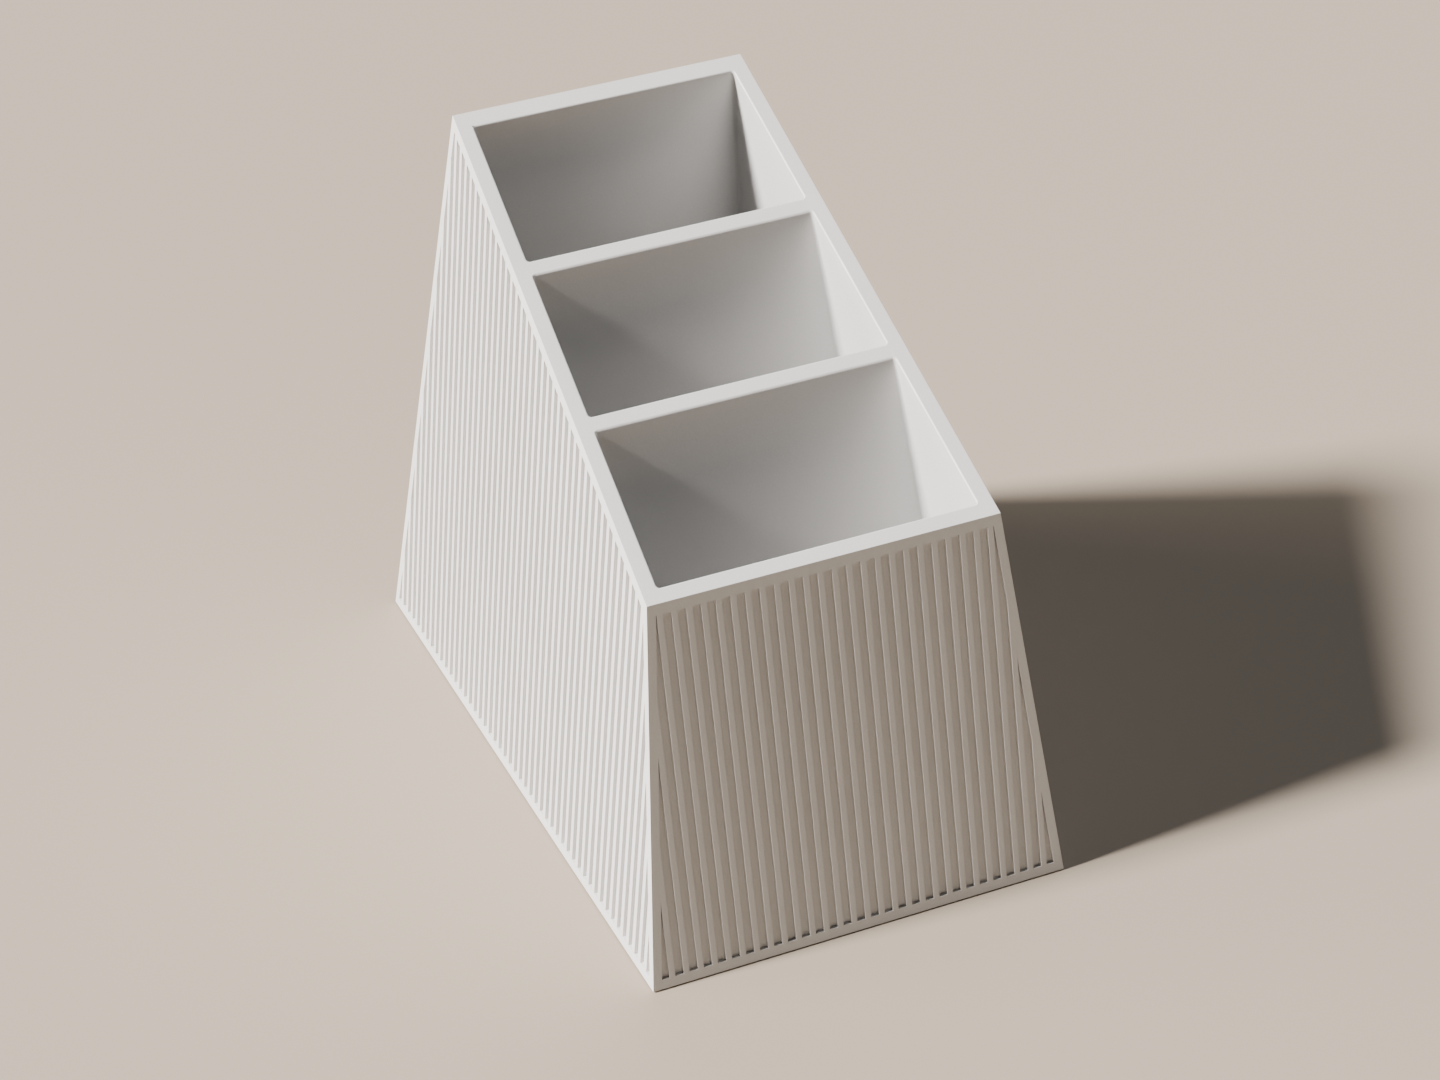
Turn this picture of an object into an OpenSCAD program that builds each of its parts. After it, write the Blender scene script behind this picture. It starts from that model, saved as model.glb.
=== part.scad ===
// Desk cup for pens: a tapered, fluted shell with a sloping rim, two dividers that slide
// into it from below, a base plate that snaps into its underside, and four anti-slip pads.
// Millimetres. +X is the user's right, +Y the back, +Z up. The origin is on the table,
// under the centre of the base.

/* [Body] */
// Width of the shell at the bottom, left to right
base_w = 89.6; // [84:0.1:100]
// Length of the shell at the bottom, front to back
base_l = 150.2; // [146:0.1:160]
// Height of the front edge of the rim above the bottom of the shell
front_h = 78.7; // [70:0.1:85]
// Height of the back edge of the rim above the bottom of the shell
rear_h = 130.1; // [118:0.1:138]
// Lean of the side walls away from upright, in degrees
side_lean = 5.75; // [3:0.05:7]
// Lean of the front wall and of both dividers, in degrees
front_lean = 10.7; // [8:0.1:12]
// Lean of the back wall, in degrees
rear_lean = 11.4; // [8:0.1:13]

/* [Walls] */
// Thickness of the side walls
side_wall = 3.3; // [3:0.1:4]
// Thickness of the front wall
front_wall = 2.7; // [2.6:0.1:4]
// Thickness of the back wall
rear_wall = 3.8; // [3:0.1:4.5]
// Thickness of the dividers
divider_t = 2.8; // [2:0.1:3.5]
// Level length of the front pocket's mouth, front to back
front_pocket_l = 33.1; // [30:0.1:36]
// Level length of the middle pocket's mouth, front to back
middle_pocket_l = 31.6; // [30:0.1:34]

/* [Flutes] */
// Distance from one groove to the next
flute_pitch = 3; // [2.6:0.1:4]
// Width of a groove
flute_w = 1.8; // [1:0.1:2]
// Depth of a groove
flute_depth = 0.7; // [0.4:0.1:1.4]
// Plain border between the grooves and the upright corners
corner_border = 1.85; // [1.5:0.05:4]
// Plain border between the grooves and the rim
rim_border = 2.3; // [1.5:0.1:4]
// Plain border between the grooves and the bottom edge
bottom_border = 2.1; // [1.8:0.1:4]

/* [Base] */
// Thickness of the base plate
plate_t = 2.5; // [2.4:0.1:3.5]
// Width of the ledge in the shell that the plate butts against
ledge_w = 0.8; // [0.6:0.1:0.9]
// Diameter of a foot pad
foot_d = 10; // [8:0.5:12]
// Thickness of a foot pad
foot_t = 1.2; // [1:0.1:1.5]
// How far the foot pads stand out below the shell
foot_proud = 0.3; // [0.2:0.05:0.6]

/* [Hidden] */

// Gap left between pieces that slide or snap together
fit_gap = 0.1;
// How far a cutting shape runs past the surface that it cuts
overcut = 1;
// Depth of the guides that hold the dividers, in the side walls and in the plate
guide_depth = 0.8;
// How far below the rim, on the front of a divider, its guides end
guide_stop = 8;
// Radius of the snap beads, how far they stand out, their length and their place
bead_r = 0.8;
bead_proud = 0.3;
bead_l = 16;
bead_y = 44;
// Corner radius of the base plate
plate_corner_r = 2;
// Distance from the edges of the plate to the centre of a foot pad
foot_inset = 11;
// Width of the chamfer round the bottom of a foot pad
foot_chamfer = 0.2;
round_fn = 64;

// Level thicknesses of the leaning walls
side_level = side_wall / cos(side_lean);
front_level = front_wall / cos(front_lean);
rear_level = rear_wall / cos(rear_lean);
divider_level = divider_t / cos(front_lean);

// Outer faces at height z above the bottom of the shell
function half_w(z) = base_w / 2 - z * tan(side_lean);
function front_y(z) = -base_l / 2 + z * tan(front_lean);
function rear_y(z) = base_l / 2 - z * tan(rear_lean);

// The rim is one sloping plane through the front and back top edges
rim_slope = (rear_h - front_h) / (rear_y(rear_h) - front_y(front_h));
function rim_z(y) = front_h + (y - front_y(front_h)) * rim_slope;

// A line that leans like the front wall and meets the rim at y = mouth, at height z
function leaning_y(mouth, z) = mouth - (rim_z(mouth) - z) * tan(front_lean);

// Lengths along the rim, measured level: what a leaning wall takes up of the mouth
mouth_factor = 1 / (1 - tan(front_lean) * rim_slope);
front_mouth = front_y(front_h) + front_level * mouth_factor;
front_divider_mouth = front_mouth + front_pocket_l;
rear_divider_mouth = front_divider_mouth + divider_level * mouth_factor + middle_pocket_l;

// Outlines of the outer block, seen from the side (y, z) and from the front (x, z)
side_outline = [[front_y(0), 0], [rear_y(0), 0], [rear_y(rear_h), rear_h],
                [front_y(front_h), front_h]];
front_outline = [[-half_w(0), 0], [half_w(0), 0], [half_w(rear_h), rear_h],
                 [-half_w(rear_h), rear_h]];

// Levels that the cavity is drawn between
cavity_low = -overcut;
cavity_high = rear_h + overcut;

// The plate drops into a recess as wide as the cavity at the ledge, plus the ledge
plate_half_w = half_w(plate_t) - side_level + ledge_w;
plate_front = front_y(plate_t) + front_level - ledge_w;
plate_rear = rear_y(plate_t) - rear_level + ledge_w;

// Prism with an outline in (y, z), across the whole width
module side_prism(outline)
    rotate([90, 0, 90]) linear_extrude(base_w + 2 * overcut, center = true) polygon(outline);

// Prism with an outline in (x, z), along the whole length
module front_prism(outline)
    rotate([90, 0, 0]) linear_extrude(base_l + 2 * overcut, center = true) polygon(outline);

module outer_block() intersection() {
    side_prism(side_outline);
    front_prism(front_outline);
}

// Room between the side walls, made wider or narrower by grow on each side
module between_sides(grow = 0, low = cavity_low, high = cavity_high) {
    function inner_w(z) = half_w(z) - side_level + grow;
    front_prism([[-inner_w(low), low], [inner_w(low), low], [inner_w(high), high],
                 [-inner_w(high), high]]);
}

module cavity() intersection() {
    side_prism([[front_y(cavity_low) + front_level, cavity_low],
                [rear_y(cavity_low) - rear_level, cavity_low],
                [rear_y(cavity_high) - rear_level, cavity_high],
                [front_y(cavity_high) + front_level, cavity_high]]);
    between_sides();
}

// Flat slab with round corners that fills the recess under the ledge
module plate_slab(gap, low, high) {
    w = 2 * (plate_half_w - gap);
    l = plate_rear - plate_front - 2 * gap;
    r = plate_corner_r - gap;
    translate([0, (plate_front + plate_rear) / 2, low]) linear_extrude(high - low) {
        square([w - 2 * r, l], center = true);
        square([w, l - 2 * r], center = true);
        for (sx = [-1, 1], sy = [-1, 1])
            translate([sx * (w / 2 - r), sy * (l / 2 - r)]) circle(r, $fn = round_fn);
    }
}

// Rods along the long edges of the plate: beads on the plate, hollows in the shell
module snap_rods(extra)
    for (sx = [-1, 1], sy = [-1, 1])
        translate([sx * (plate_half_w - fit_gap + bead_proud - bead_r), sy * bead_y, plate_t / 2])
            rotate([90, 0, 0])
                cylinder(h = bead_l + 2 * extra, r = bead_r + extra, center = true, $fn = round_fn);

// Corner of an outline moved inwards: a, b, c are counterclockwise, and the edges a-b and
// b-c move by border_in and border_out
function unit(v) = v / norm(v);
function inward(v) = [-v.y, v.x];
function moved_corner(a, b, c, border_in, border_out) =
    let (edge_in = unit(b - a), edge_out = unit(c - b),
         on_in = b + inward(edge_in) * border_in,
         on_out = b + inward(edge_out) * border_out)
    on_in + edge_in * cross(on_out - on_in, edge_out) / cross(edge_in, edge_out);

// Corners of a face are listed from its bottom left: its edges are bottom, right, rim, left
borders = [bottom_border, corner_border, rim_border, corner_border];
function inside_borders(face) = [for (i = [0:3])
    moved_corner(face[(i + 3) % 4], face[i], face[(i + 1) % 4], borders[(i + 3) % 4], borders[i])];

// Grooves in one face, drawn flat with the outside towards +Z, a groove on the line x = 0
module flutes(face) {
    area = inside_borders(face);
    tall = max([for (p = area) p.y]);
    reach = floor(max([for (p = area) abs(p.x)]) / flute_pitch + 0.5);
    translate([0, 0, -flute_depth]) linear_extrude(flute_depth + overcut) intersection() {
        polygon(area);
        for (i = [-reach:reach])
            translate([i * flute_pitch - flute_w / 2, 0]) square([flute_w, tall]);
    }
}

// Outlines of the faces in their own planes, heights measured up the lean
function up_face(z, lean) = z / cos(lean);
front_face = [[-half_w(0), 0], [half_w(0), 0],
              [half_w(front_h), up_face(front_h, front_lean)],
              [-half_w(front_h), up_face(front_h, front_lean)]];
rear_face = [[-half_w(0), 0], [half_w(0), 0],
             [half_w(rear_h), up_face(rear_h, rear_lean)],
             [-half_w(rear_h), up_face(rear_h, rear_lean)]];
right_face = [for (p = side_outline) [p.x, up_face(p.y, side_lean)]];

module front_flutes()
    translate([0, -base_l / 2, 0]) rotate([90 - front_lean, 0, 0]) flutes(front_face);

module rear_flutes()
    translate([0, base_l / 2, 0]) rotate([90 - rear_lean, 0, 180]) flutes(rear_face);

module right_flutes()
    translate([base_w / 2, 0, 0]) rotate([90 - side_lean, 0, 90]) flutes(right_face);

// Slab that leans like the front wall; mouth is where its front face meets the rim
module leaning_slab(mouth, gap, low, high)
    side_prism([[leaning_y(mouth, low) - gap, low],
                [leaning_y(mouth, low) + divider_level + gap, low],
                [leaning_y(mouth, high) + divider_level + gap, high],
                [leaning_y(mouth, high) - gap, high]]);

// Edges of a divider that run in the guides, in the shell and in the plate
module divider_tongues(mouth, gap) {
    low = plate_t - guide_depth - gap;
    high = rim_z(mouth) - guide_stop + gap;
    intersection() {
        leaning_slab(mouth, gap, low, high);
        between_sides(guide_depth + gap, low, high);
    }
}

module divider(mouth) color("#E3E1DC") translate([0, 0, foot_proud]) {
    intersection() {
        outer_block();
        leaning_slab(mouth, 0, plate_t - guide_depth, cavity_high);
        between_sides();
    }
    divider_tongues(mouth, 0);
}

module shell() color("#E3E1DC") translate([0, 0, foot_proud]) difference() {
    outer_block();
    cavity();
    plate_slab(0, -overcut, plate_t);
    snap_rods(fit_gap);
    divider_tongues(front_divider_mouth, fit_gap);
    divider_tongues(rear_divider_mouth, fit_gap);
    front_flutes();
    rear_flutes();
    right_flutes();
    mirror([1, 0, 0]) right_flutes();
}

// Places one foot pad: sx is -1 on the left, sy is -1 at the front
module at_foot(sx, sy)
    translate([sx * (plate_half_w - foot_inset),
               sy < 0 ? plate_front + foot_inset : plate_rear - foot_inset, 0])
        children();

module base_plate() color("#DAD8D3") translate([0, 0, foot_proud]) difference() {
    union() {
        plate_slab(fit_gap, 0, plate_t);
        snap_rods(0);
    }
    divider_tongues(front_divider_mouth, fit_gap);
    divider_tongues(rear_divider_mouth, fit_gap);
    for (sx = [-1, 1], sy = [-1, 1])
        at_foot(sx, sy) translate([0, 0, -overcut])
            cylinder(h = overcut + foot_t - foot_proud, d = foot_d + 2 * fit_gap, $fn = round_fn);
}

module foot(sx, sy) color("#4A4A4C") at_foot(sx, sy) {
    cylinder(h = foot_chamfer, d1 = foot_d - 2 * foot_chamfer, d2 = foot_d, $fn = round_fn);
    translate([0, 0, foot_chamfer]) cylinder(h = foot_t - foot_chamfer, d = foot_d, $fn = round_fn);
}

shell();
divider(front_divider_mouth);  // front_divider
divider(rear_divider_mouth);  // rear_divider
base_plate();
foot(-1, -1);  // foot_front_left
foot(1, -1);  // foot_front_right
foot(-1, 1);  // foot_rear_left
foot(1, 1);  // foot_rear_right
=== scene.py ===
"""A fluted desk cup for pens, seen from its front left corner on a pale table.

The shell, plate and pads are cleaned copies of their CAD nodes with rounded edges. The two
dividers are lofts between the same planes, and flare out into the pockets' round corners.
"""
from math import acos, cos, pi, radians, sin, tan

import bmesh
import bpy
from mathutils import Matrix, Vector


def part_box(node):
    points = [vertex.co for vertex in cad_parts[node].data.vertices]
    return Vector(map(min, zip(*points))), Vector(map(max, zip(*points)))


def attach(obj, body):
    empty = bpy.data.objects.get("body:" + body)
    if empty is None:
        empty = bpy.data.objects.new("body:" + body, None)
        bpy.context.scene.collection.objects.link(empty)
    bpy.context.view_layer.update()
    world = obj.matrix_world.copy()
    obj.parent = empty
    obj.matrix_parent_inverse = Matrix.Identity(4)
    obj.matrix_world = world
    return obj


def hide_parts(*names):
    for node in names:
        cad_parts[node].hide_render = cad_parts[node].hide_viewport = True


MM = 0.001
X = Vector((1, 0, 0))
Y = Vector((0, 1, 0))
Z = Vector((0, 0, 1))

# Angles and flute pattern of the cup
SIDE_LEAN = radians(5.75)
FRONT_LEAN = radians(10.7)
REAR_LEAN = radians(11.4)
FLUTE_PITCH = 3 * MM
FLUTE_W = 1.8 * MM
FLUTE_DEPTH = 0.7 * MM

# How far edges are rounded off
CORNER_ROUND = 0.35 * MM
MOUTH_ROUND = 0.35 * MM
FLUTE_ROUND = 0.08 * MM
POCKET_ROUND = 0.7 * MM
BASE_ROUND = 0.15 * MM

# Segments of a quarter circle, and how near its ends a mouth cutter's rounding starts and stops
ARC_STEPS = 6
ARC_MARGIN = radians(4)

# Segments of the rounding on an outer corner or lowest edge, and on a groove's edge
CORNER_STEPS = 3
FLUTE_STEPS = 2

# How far a mouth cutter stands above the rim
CUTTER_RISE = 2 * MM

# Tolerances for finding flat areas and points on a plane
WELD = 0.002 * MM
NEAR = 0.02 * MM
FLAT = radians(0.5)
SHARP = radians(50)

# Least cosine between a direction and a face that roughly, or closely, faces it
FACING = 0.8
PARALLEL = 0.99

# Largest cosine between a direction and an edge that runs square to it
SQUARE = 0.001

# Faces narrower than this are rounded edges, which the materials show as rubbed (smoother) and paint
# lighter as a painted highlight
EDGE = "rounded_edge"
EDGE_W = 0.2 * MM

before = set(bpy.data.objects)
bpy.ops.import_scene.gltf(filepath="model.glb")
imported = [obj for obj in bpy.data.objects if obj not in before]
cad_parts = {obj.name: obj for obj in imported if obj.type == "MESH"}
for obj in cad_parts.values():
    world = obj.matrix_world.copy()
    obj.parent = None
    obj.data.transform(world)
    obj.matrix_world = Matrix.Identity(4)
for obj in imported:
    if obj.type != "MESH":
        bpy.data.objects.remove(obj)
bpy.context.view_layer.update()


# ---------------------------------------------------------------- mesh helpers

def is_flat(edge):
    return len(edge.link_faces) == 2 and edge.calc_face_angle(0) < FLAT


def clean_mesh(node):
    """A bmesh copy of a CAD node with its points welded and each flat area in few faces."""
    bm = bmesh.new()
    bm.from_mesh(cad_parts[node].data)
    bmesh.ops.remove_doubles(bm, verts=bm.verts, dist=WELD)
    bmesh.ops.dissolve_limit(bm, angle_limit=FLAT, verts=bm.verts, edges=bm.edges)
    bm.normal_update()
    return bm


def drop_idle_points(bm):
    """Removes points that lie on a straight stretch between just two edges."""
    idle = []
    for v in bm.verts:
        if len(v.link_edges) == 2:
            a, b = (e.other_vert(v).co - v.co for e in v.link_edges)
            if a.angle(b) > pi - FLAT:
                idle.append(v)
    bmesh.ops.dissolve_verts(bm, verts=idle)


def bevel(bm, edges, width, segments):
    bmesh.ops.bevel(bm, geom=list(edges), offset=width, offset_type="OFFSET", segments=segments,
                    profile=0.5, affect="EDGES", clamp_overlap=True)


def on_plane(item, plane):
    """Whether all points of an edge or face lie on plane, a (normal, distance) pair."""
    normal, distance = plane
    return all(abs(v.co.dot(normal) - distance) < NEAR for v in item.verts)


def furthest_plane(bm, direction):
    """The outermost flat area that faces roughly in direction, as (normal, distance)."""
    facing = [f for f in bm.faces if f.normal.dot(direction) > FACING]
    face = max(facing, key=lambda f: f.calc_center_median().dot(f.normal))
    return face.normal.copy(), face.verts[0].co.dot(face.normal)


def loft(loops):
    """A closed bmesh through loops of points, all with as many points, first to last."""
    bm = bmesh.new()
    rings = [[bm.verts.new(p) for p in loop] for loop in loops]
    bm.faces.new(rings[0])
    bm.faces.new(rings[-1])
    for low, high in zip(rings, rings[1:]):
        for i in range(len(low)):
            bm.faces.new((low[i - 1], low[i], high[i], high[i - 1]))
    bmesh.ops.recalc_face_normals(bm, faces=bm.faces)
    return bm


def mark_edges(bm):
    """Gives every face of a rounded edge the attribute that the materials read as wear and as a
    painted highlight.
    """
    layer = bm.faces.layers.float.new(EDGE)
    for face in bm.faces:
        longest = max(e.calc_length() for e in face.edges)
        face[layer] = face.calc_area() < EDGE_W * longest


def add_object(name, bm, material):
    """Turns bm into an object whose gentle edges are smooth and whose others are sharp."""
    mark_edges(bm)
    mesh = bpy.data.meshes.new(name)
    bm.to_mesh(mesh)
    bm.free()
    mesh.materials.append(material)
    mesh.shade_smooth()
    mesh.set_sharp_from_angle(angle=SHARP)
    piece = bpy.data.objects.new(name, mesh)
    bpy.context.scene.collection.objects.link(piece)
    return piece


def add_piece(name, bm, material, node):
    """Makes a shown piece that rides on the cup and stands for a CAD node."""
    piece = add_object(name, bm, material)
    normals = piece.modifiers.new("flat_areas", "WEIGHTED_NORMAL")
    normals.weight = 100
    normals.keep_sharp = True
    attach(piece, "root")
    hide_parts(node)
    return piece


# ---------------------------------------------------------------- pockets

class Pocket:
    """One pocket, as four leaning walls that meet in round upright corners.

    Its walls are given where they would cross the level z = 0, and lean from there.
    """

    def __init__(self, half_w, front, rear, rear_slope):
        self.half_w = half_w
        self.base = {-1: front, 1: rear}
        self.slope = {-1: tan(FRONT_LEAN), 1: rear_slope}

    def point(self, side, out, end, y, plane):
        """The point on plane of a line that leans with the walls from (side * out, y) at z = 0."""
        height, rise = plane
        slope = self.slope[end]
        z = (height + rise * y) / (1 - rise * slope)
        return Vector((side * (out - z * tan(SIDE_LEAN)), y + z * slope, z))

    def corner(self, side, end, plane, grow=0, start=0):
        """Points of one round corner on plane, with the pocket grown outwards by grow.

        side is -1 on the left, end is -1 at the front, and plane is (height at y = 0, slope).
        The points run from the side wall, at the angle start, to the front or rear wall.
        """
        points = []
        for step in range(ARC_STEPS + 1):
            angle = start + (pi / 2 - start) * step / ARC_STEPS
            reach = POCKET_ROUND + grow
            out = self.half_w - POCKET_ROUND + reach * cos(angle)
            y = self.base[end] + end * (reach * sin(angle) - POCKET_ROUND)
            points.append(self.point(side, out, end, y, plane))
        return points

    def loop(self, plane, grow=0):
        """The pocket's outline on plane, all the way round."""
        return (self.corner(-1, -1, plane, grow) + self.corner(1, -1, plane, grow)[::-1]
                + self.corner(1, 1, plane, grow) + self.corner(-1, 1, plane, grow)[::-1])


def level_y(points, slope):
    """Where a wall through points, leaning back by slope, crosses the level z = 0."""
    return sum(p.y - p.z * slope for p in points) / len(points)


def measure_pockets():
    """Reads the rim plane and the three pockets from the CAD shell and dividers."""
    bm = clean_mesh("shell")
    normal, distance = furthest_plane(bm, Z)
    rim = (distance / normal.z, -normal.y / normal.z)
    on_rim = []
    for v in bm.verts:
        if abs(v.co.dot(normal) - distance) < NEAR:
            on_rim.append(v.co.copy())
    bm.free()
    on_rim.sort(key=lambda p: p.y)
    front_edge, rear_edge = on_rim[2:4], on_rim[4:6]
    half_w = sum(abs(p.x) + p.z * tan(SIDE_LEAN) for p in on_rim[2:6]) / 4
    lean = tan(FRONT_LEAN)
    walls = [level_y(front_edge, lean)]
    for node in ("front_divider", "rear_divider"):
        bm = clean_mesh(node)
        top = sorted((v.co.copy() for v in bm.verts if abs(v.co.dot(normal) - distance) < NEAR),
                     key=lambda p: p.y)
        walls += [level_y(top[:2], lean), level_y(top[2:], lean)]
        bm.free()
    back = level_y(rear_edge, -tan(REAR_LEAN))
    return rim, [Pocket(half_w, walls[0], walls[1], lean),
                 Pocket(half_w, walls[2], walls[3], lean),
                 Pocket(half_w, walls[4], back, -tan(REAR_LEAN))]


def mouth_cutter(pocket, rim):
    """A closed shape whose skirt rounds off the edges of a pocket's mouth."""
    height, rise = rim
    loops = []
    for step in range(ARC_STEPS + 1):
        angle = ARC_MARGIN + (pi / 2 - 2 * ARC_MARGIN) * step / ARC_STEPS
        plane = (height - MOUTH_ROUND * (1 - cos(angle)), rise)
        loops.append(pocket.loop(plane, MOUTH_ROUND * (1 - sin(angle))))
    loops.insert(0, [p + Z * CUTTER_RISE for p in loops[0]])
    loops.append(pocket.loop((height - MOUTH_ROUND, rise), -POCKET_ROUND / 2))
    return loft(loops)


def cut(bm, tools):
    """Takes tool objects away from bm one by one, and returns the rest as a new bmesh."""
    mesh = bpy.data.meshes.new("blank")
    bm.to_mesh(mesh)
    bm.free()
    body = bpy.data.objects.new("blank", mesh)
    bpy.context.scene.collection.objects.link(body)
    for tool in tools:
        step = body.modifiers.new("step", "BOOLEAN")
        step.operation = "DIFFERENCE"
        step.solver = "EXACT"
        step.object = tool
    result = bmesh.new()
    result.from_object(body, bpy.context.evaluated_depsgraph_get())
    bpy.data.objects.remove(body)
    return result


# ---------------------------------------------------------------- shell

def cut_strips(bm, plane, along):
    """Splits one fluted face into straight strips that line up with its grooves."""
    reach = max(v.co.dot(along) for v in bm.verts)
    count = int(reach / FLUTE_PITCH) + 1
    for i in range(-count, count + 1):
        for side in (-1, 1):
            faces = [f for f in bm.faces if on_plane(f, plane)]
            geom = list({g for f in faces for g in (f, *f.edges, *f.verts)})
            bmesh.ops.bisect_plane(bm, geom=geom, dist=WELD, plane_no=along,
                                   plane_co=along * (i * FLUTE_PITCH + side * FLUTE_W / 2))
    faces = [f for f in bm.faces if on_plane(f, plane)]
    across = []
    for e in {e for f in faces for e in f.edges}:
        run = (e.verts[1].co - e.verts[0].co).normalized()
        if is_flat(e) and abs(run.dot(along)) > SQUARE:
            across.append(e)
    bmesh.ops.dissolve_edges(bm, edges=across)


def flute_edges(bm, plane):
    """Edges of the grooves' floors and walls behind one fluted face."""
    normal, distance = plane
    floor_plane = (normal, distance - FLUTE_DEPTH)
    floors = [f for f in bm.faces if f.normal.dot(normal) > PARALLEL and on_plane(f, floor_plane)]
    walls = {f for floor in floors for e in floor.edges for f in e.link_faces}
    return {e for f in walls for e in f.edges if not is_flat(e)}


def build_shell(material, rim, cutters):
    bm = clean_mesh("shell")
    sides = [(furthest_plane(bm, d), along) for d, along in ((-Y, X), (Y, X), (-X, Y), (X, Y))]
    outer = [plane for plane, along in sides] + [furthest_plane(bm, Z), furthest_plane(bm, -Z)]
    height, rise = rim
    upright = [e for e in bm.edges
               if any(v.co.z > height + rise * v.co.y - NEAR for v in e.verts)
               and not e.is_convex and not is_flat(e)]
    bevel(bm, upright, POCKET_ROUND, ARC_STEPS)
    bm = cut(bm, cutters)
    for plane, along in sides:
        cut_strips(bm, plane, along)
    drop_idle_points(bm)
    corners = [e for e in bm.edges if sum(on_plane(e, plane) for plane in outer) > 1]
    bevel(bm, corners, CORNER_ROUND, CORNER_STEPS)
    grooves = set().union(*(flute_edges(bm, plane) for plane in outer[:4]))
    bevel(bm, grooves, FLUTE_ROUND, FLUTE_STEPS)
    return add_piece("fluted_shell", bm, material, "shell")


# ---------------------------------------------------------------- other pieces

def measure_tongues(node, half_w):
    """How far a CAD divider's ends reach into the side walls, and the height where that stops."""
    reach = []
    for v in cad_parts[node].data.vertices:
        depth = abs(v.co.x) + v.co.z * tan(SIDE_LEAN) - half_w
        if depth > NEAR:
            reach.append((depth, v.co.z))
    return max(depth for depth, z in reach), max(z for depth, z in reach)


def divider_loop(before, behind, plane, grow=0, tongue=0, flared=True):
    """A divider's outline on plane, all the way round, between the pockets grown by grow.

    tongue is how far its ends reach into the side walls, and flared is whether they widen
    into the pockets' round corners. Points that an outline doesn't need fall together.
    """
    at_wall = acos(POCKET_ROUND / (POCKET_ROUND + grow))
    loop = []
    for side in (-1, 1):
        half = []
        for pocket, end in ((before, 1), (behind, -1)):
            arc = pocket.corner(side, end, plane, grow, at_wall)
            face = pocket.base[end]
            root = pocket.point(side, pocket.half_w, end, face, plane)
            tip = pocket.point(side, pocket.half_w + tongue, end, face, plane)
            if not flared:
                arc = [root] * ARC_STEPS + arc[-1:]
            if arc[0].y * end > root.y * end:
                root = tip = arc[0]
            half += (arc[::-1] + [root, tip])[::end]
        loop += half[::side]
    return loop


def build_divider(name, node, pockets, rim, material):
    """A divider from the plate's guides up to a rounded mouth, with tongues at its ends."""
    before, behind = pockets
    height, rise = rim
    tongue, stop = measure_tongues(node, before.half_w)
    bottom = (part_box(node)[0].z, 0)
    plate = (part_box("base_plate")[1].z, 0)
    loops = [divider_loop(before, behind, bottom, tongue=tongue, flared=False),
             divider_loop(before, behind, plate, tongue=tongue, flared=False),
             divider_loop(before, behind, plate, tongue=tongue),
             divider_loop(before, behind, (stop, 0), tongue=tongue),
             divider_loop(before, behind, (stop, 0))]
    for step in range(ARC_STEPS + 1):
        angle = pi / 2 * (1 - step / ARC_STEPS)
        plane = (height - MOUTH_ROUND * (1 - cos(angle)), rise)
        loops.append(divider_loop(before, behind, plane, MOUTH_ROUND * (1 - sin(angle))))
    bm = loft(loops)
    bmesh.ops.remove_doubles(bm, verts=bm.verts, dist=WELD)
    bmesh.ops.dissolve_limit(bm, angle_limit=FLAT, verts=bm.verts, edges=bm.edges)
    bmesh.ops.recalc_face_normals(bm, faces=bm.faces)
    return add_piece(name, bm, material, node)


def build_copy(name, node, material):
    """A piece of the underside, with the edges around its lowest face rounded off."""
    bm = clean_mesh(node)
    drop_idle_points(bm)
    bottom = furthest_plane(bm, -Z)
    lowest = [e for e in bm.edges if on_plane(e, bottom) and not is_flat(e)]
    bevel(bm, lowest, BASE_ROUND, CORNER_STEPS)
    return add_piece(name, bm, material, node)


# ---------------------------------------------------------------- materials

def new_node(tree, kind, **inputs):
    """Adds a node whose named inputs get a value, or a link if they are given a socket."""
    node = tree.nodes.new("ShaderNode" + kind)
    for name, value in inputs.items():
        socket = node.inputs[name.replace("_", " ")]
        if isinstance(value, bpy.types.NodeSocket):
            tree.links.new(value, socket)
        else:
            socket.default_value = value
    return node


def noise(tree, size, detail):
    """Noise fixed to the object, with blotches about size metres wide."""
    place = new_node(tree, "TexCoord").outputs["Object"]
    return new_node(tree, "TexNoise", Vector=place, Scale=1 / size, Detail=detail).outputs["Fac"]


def spread(tree, value, low, high):
    """Stretches the middle of a noise's range to low .. high."""
    node = new_node(tree, "MapRange", Value=value, From_Min=0.3, From_Max=0.7, To_Min=low, To_Max=high)
    return node.outputs["Result"]


def blend(tree, factor, low, high):
    """Mixes two colours, each given as numbers or as another blend."""
    node = new_node(tree, "MixRGB", Fac=factor)
    for socket, color in ((node.inputs[1], low), (node.inputs[2], high)):
        if isinstance(color, bpy.types.NodeSocket):
            tree.links.new(color, socket)
        else:
            socket.default_value = (*color, 1)
    return node.outputs["Color"]


def total(tree, *values):
    """Adds up several values."""
    result = values[0]
    for value in values[1:]:
        node = new_node(tree, "Math")
        tree.links.new(result, node.inputs[0])
        tree.links.new(value, node.inputs[1])
        result = node.outputs["Value"]
    return result


def grain(tree, layers):
    """A normal bumped by layers of noise, each a (size, height) pair in metres."""
    normal = None
    for size, height in layers:
        bump = new_node(tree, "Bump", Height=noise(tree, size, 2), Distance=height)
        if normal:
            tree.links.new(normal, bump.inputs["Normal"])
        normal = bump.outputs["Normal"]
    return normal


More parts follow.
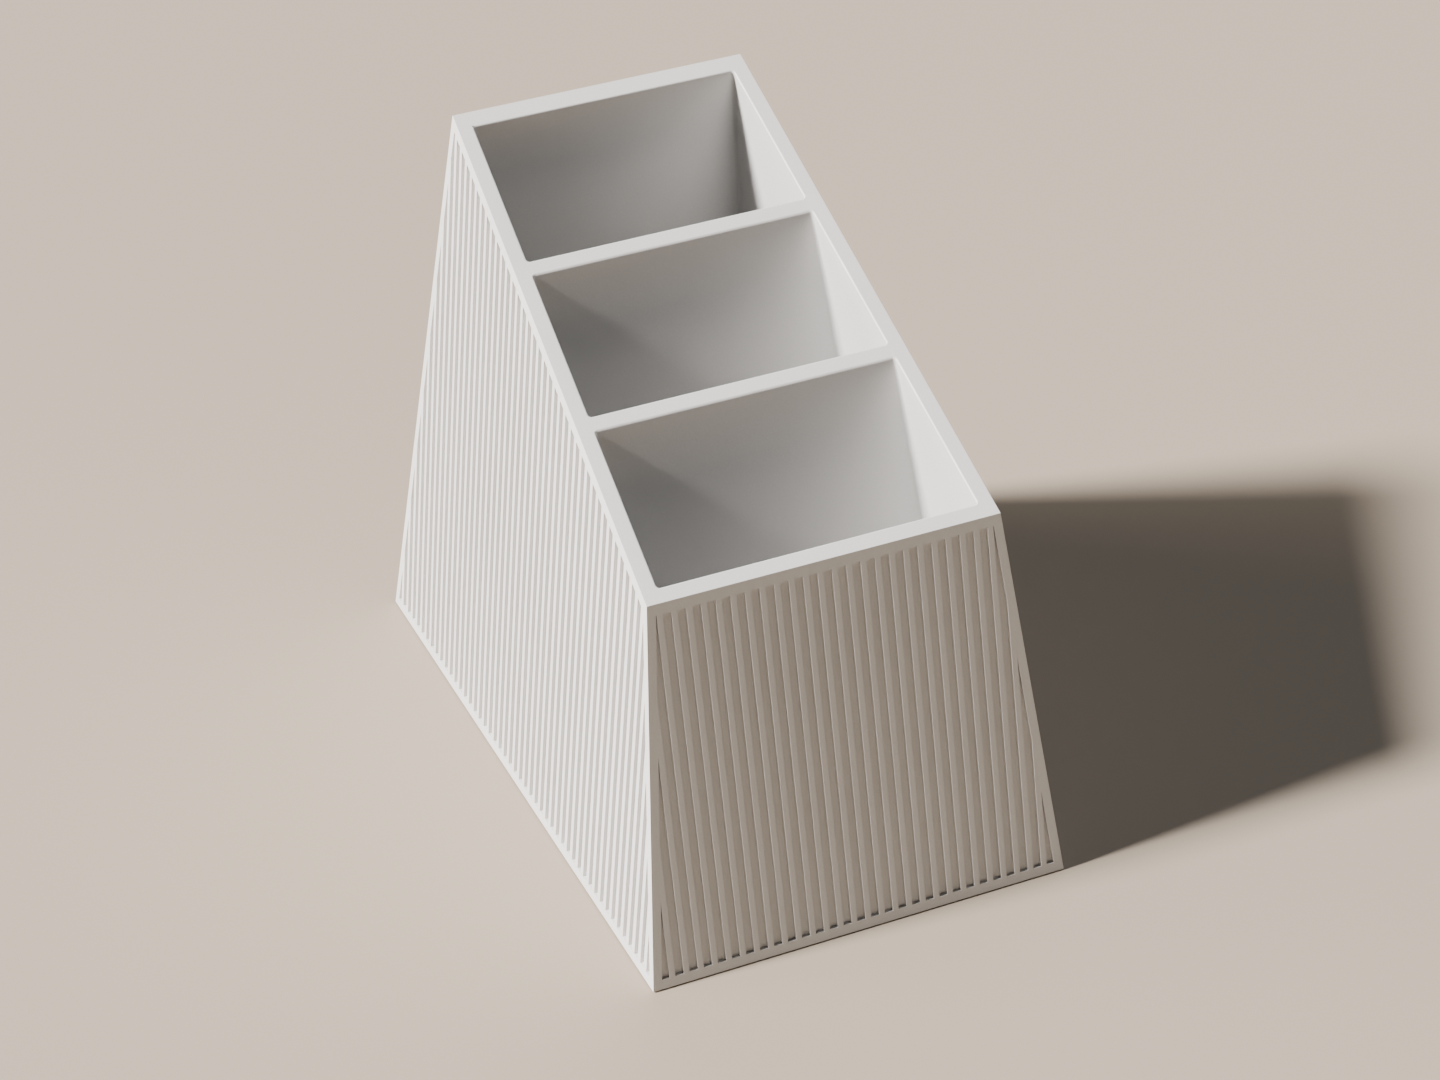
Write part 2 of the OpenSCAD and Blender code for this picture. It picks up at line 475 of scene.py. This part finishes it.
def surface(name, low, high, fleck, rough, speck, layers):
    """A matte moulded material.

    Its colour drifts between low and high and has darker or lighter flecks speck metres
    wide, its roughness varies within the pair rough, and rounded edges are rubbed smoother
    in patches, where they are also painted a little lighter as a painted highlight.
    """
    material = bpy.data.materials.new(name)
    material.use_nodes = True
    tree = material.node_tree
    shader = tree.nodes["Principled BSDF"]
    drift = spread(tree, noise(tree, 25 * MM, 3), 0, 1)
    flecks = spread(tree, noise(tree, speck, 1), 0, 0.5)
    edge = tree.nodes.new("ShaderNodeAttribute")
    edge.attribute_name = EDGE
    patches = spread(tree, noise(tree, 6 * MM, 3), 0, 1)
    wear_and_sheen = new_node(tree, "Math")
    wear_and_sheen.operation = "MULTIPLY"
    tree.links.new(edge.outputs["Fac"], wear_and_sheen.inputs[0])
    tree.links.new(patches, wear_and_sheen.inputs[1])
    wear_and_sheen = wear_and_sheen.outputs["Value"]
    color = blend(tree, flecks, blend(tree, drift, low, high), fleck)
    # Rounded edges are painted a little lighter in patches as a painted highlight; the roughness below
    # makes the same patches smoother, as real rubbing does.
    wear_and_sheen_color = tuple(min(c * 1.08, 0.9) for c in high)
    tree.links.new(blend(tree, wear_and_sheen, color, wear_and_sheen_color), shader.inputs["Base Color"])
    gloss = total(tree, spread(tree, noise(tree, 12 * MM, 4), *rough),
                  spread(tree, noise(tree, speck, 1), -0.04, 0.04),
                  new_node(tree, "MapRange", Value=wear_and_sheen, To_Min=0, To_Max=-0.12).outputs["Result"])
    tree.links.new(gloss, shader.inputs["Roughness"])
    tree.links.new(grain(tree, layers), shader.inputs["Normal"])
    return material


def cup_material():
    """Off-white plastic with a very fine even grain."""
    return surface("cup_plastic", (0.67, 0.665, 0.66), (0.70, 0.695, 0.69), (0.64, 0.63, 0.62),
                   rough=(0.50, 0.62), speck=0.35 * MM,
                   layers=((9 * MM, 0.02 * MM), (0.5 * MM, 0.02 * MM), (0.22 * MM, 0.01 * MM)))


def base_material():
    """The plate's plastic: slightly greyer, with a coarser spark texture."""
    return surface("base_plastic", (0.69, 0.68, 0.665), (0.73, 0.72, 0.705), (0.62, 0.61, 0.59),
                   rough=(0.58, 0.70), speck=0.6 * MM,
                   layers=((12 * MM, 0.03 * MM), (0.8 * MM, 0.05 * MM), (0.3 * MM, 0.02 * MM)))


def rubber_material():
    """Dark soft rubber with dusty flecks and a pitted skin."""
    return surface("foot_rubber", (0.035, 0.035, 0.037), (0.055, 0.054, 0.053), (0.12, 0.115, 0.11),
                   rough=(0.72, 0.88), speck=0.3 * MM,
                   layers=((2 * MM, 0.03 * MM), (0.35 * MM, 0.03 * MM)))


def floor_material():
    """A plain pale warm tabletop."""
    material = bpy.data.materials.new("floor")
    material.use_nodes = True
    shader = material.node_tree.nodes["Principled BSDF"]
    shader.inputs["Base Color"].default_value = (0.35, 0.29, 0.23, 1)
    shader.inputs["Roughness"].default_value = 0.8
    return material


# ---------------------------------------------------------------- stage

def add_camera():
    """The viewpoint: a long lens in front of the cup's front left corner, looking down."""
    place = (-0.24342, -0.59292, 0.46475)
    azimuth = radians(22.6)
    dip = radians(33.04)
    roll = radians(-1.8)
    data = bpy.data.cameras.new("camera")
    data.sensor_width = 36
    data.lens = 92.76
    camera = bpy.data.objects.new("camera", data)
    camera.matrix_world = (Matrix.Translation(place)
                           @ Matrix.Rotation(-azimuth, 4, "Z")
                           @ Matrix.Rotation(pi / 2 - dip, 4, "X")
                           @ Matrix.Rotation(roll, 4, "Z"))
    bpy.context.scene.collection.objects.link(camera)
    bpy.context.scene.camera = camera


def add_light(name, azimuth, height, width, strength, color):
    """A distant soft light, with its angles in degrees.

    azimuth is 0 in front of the cup and 90 on its right, height is the light's angle above
    the floor, and width is the angle that it fills.
    """
    data = bpy.data.lights.new(name, "SUN")
    data.angle = radians(width)
    data.energy = strength
    data.color = color
    light = bpy.data.objects.new(name, data)
    light.rotation_euler = (pi / 2 - radians(height), 0, radians(azimuth))
    bpy.context.scene.collection.objects.link(light)


def add_floor(material):
    reach = 2
    corners = [(-reach, -reach, 0), (reach, -reach, 0), (reach, reach, 0), (-reach, reach, 0)]
    mesh = bpy.data.meshes.new("floor")
    mesh.from_pydata(corners, [], [(0, 1, 2, 3)])
    mesh.materials.append(material)
    floor = bpy.data.objects.new("floor", mesh)
    bpy.context.scene.collection.objects.link(floor)


def add_world(strength):
    world = bpy.data.worlds.new("world")
    world.use_nodes = True
    world.node_tree.nodes["Background"].inputs["Color"].default_value = (1, 1, 1, 1)
    world.node_tree.nodes["Background"].inputs["Strength"].default_value = strength
    bpy.context.scene.world = world


add_camera()
add_floor(floor_material())
add_world(0.03)
add_light("key", 261.5, 38.5, 8.5, 13.6, (1.0, 0.96, 0.915))
add_light("side", 245, 14, 24, 1.8, (1.0, 0.85, 0.68))
add_light("fill", 125, 55, 60, 0.8, (0.9, 0.95, 1.0))

cup_plastic = cup_material()
base_plastic = base_material()
foot_rubber = rubber_material()

rim, pockets = measure_pockets()
cutters = [add_object("mouth_cutter", mouth_cutter(p, rim), cup_plastic) for p in pockets]
build_shell(cup_plastic, rim, cutters)
build_divider("front_partition", "front_divider", pockets[:2], rim, cup_plastic)
build_divider("rear_partition", "rear_divider", pockets[1:], rim, cup_plastic)
for cutter in cutters:
    bpy.data.objects.remove(cutter)
build_copy("underside_plate", "base_plate", base_plastic)
for place in ("front_left", "front_right", "rear_left", "rear_right"):
    build_copy("pad_" + place, "foot_" + place, foot_rubber)
